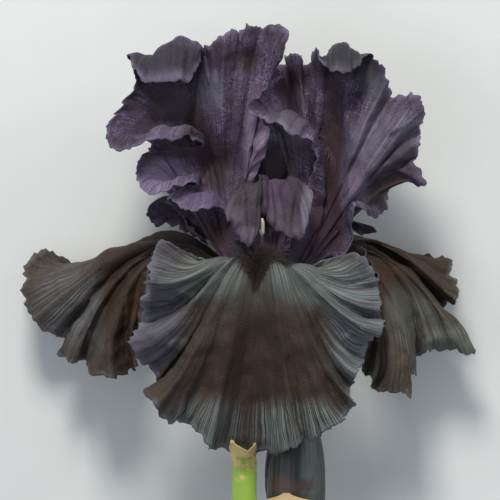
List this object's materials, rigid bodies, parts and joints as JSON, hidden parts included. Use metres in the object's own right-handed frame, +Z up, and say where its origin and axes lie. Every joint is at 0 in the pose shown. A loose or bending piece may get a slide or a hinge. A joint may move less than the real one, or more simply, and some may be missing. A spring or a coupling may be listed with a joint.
{
  "type": "bearded iris flower",
  "caption": "A near-black bearded iris in full bloom, picked with its stem and a furled bud, lying on its back",
  "frame": {"origin": "middle of the bounding box's foot, on the surface that the flower lies on", "axes": "+X is the flower's right as seen from above, +Y runs along the stem towards the standards, +Z is up, off the surface and towards the flower's front"},
  "size_m": [0.152, 0.2301, 0.0594],
  "materials": {
    "fall": "velvety petal, almost black, with a grey-green sheen towards its ruffled rim",
    "standard": "thin crinkled petal, black violet with a satin sheen",
    "style_arm": "waxy petal-like strap, dusky violet",
    "beard": "soft matte hairs, brown black",
    "stamen": "matte cream pollen on a thin thread",
    "perianth_tube": "smooth waxy green, flushed with purple",
    "ovary": "smooth waxy green",
    "stem": "smooth green stalk with a waxy bloom",
    "spathe": "green sheath that turns tan and papery at its tip",
    "bud": "furled petals, blue black and satin",
    "bud_spathe": "green sheath with a dry papery tan margin"
  },
  "bodies": {
    "root": {"fall_front": "fall", "fall_left": "fall", "fall_right": "fall", "standard_left": "standard", "standard_right": "standard", "standard_back": "standard", "style_arm_front": "style_arm", "style_arm_left": "style_arm", "style_arm_right": "style_arm", "beard_front": "beard", "beard_left": "beard", "beard_right": "beard", "stamen_front": "stamen", "stamen_left": "stamen", "stamen_right": "stamen", "perianth_tube": "perianth_tube", "ovary": "ovary", "stem": "stem", "spathe_left": "spathe", "spathe_right": "spathe", "bud": "bud", "bud_spathe_outer": "bud_spathe", "bud_spathe_inner": "bud_spathe"}
  },
  "joints": []
}
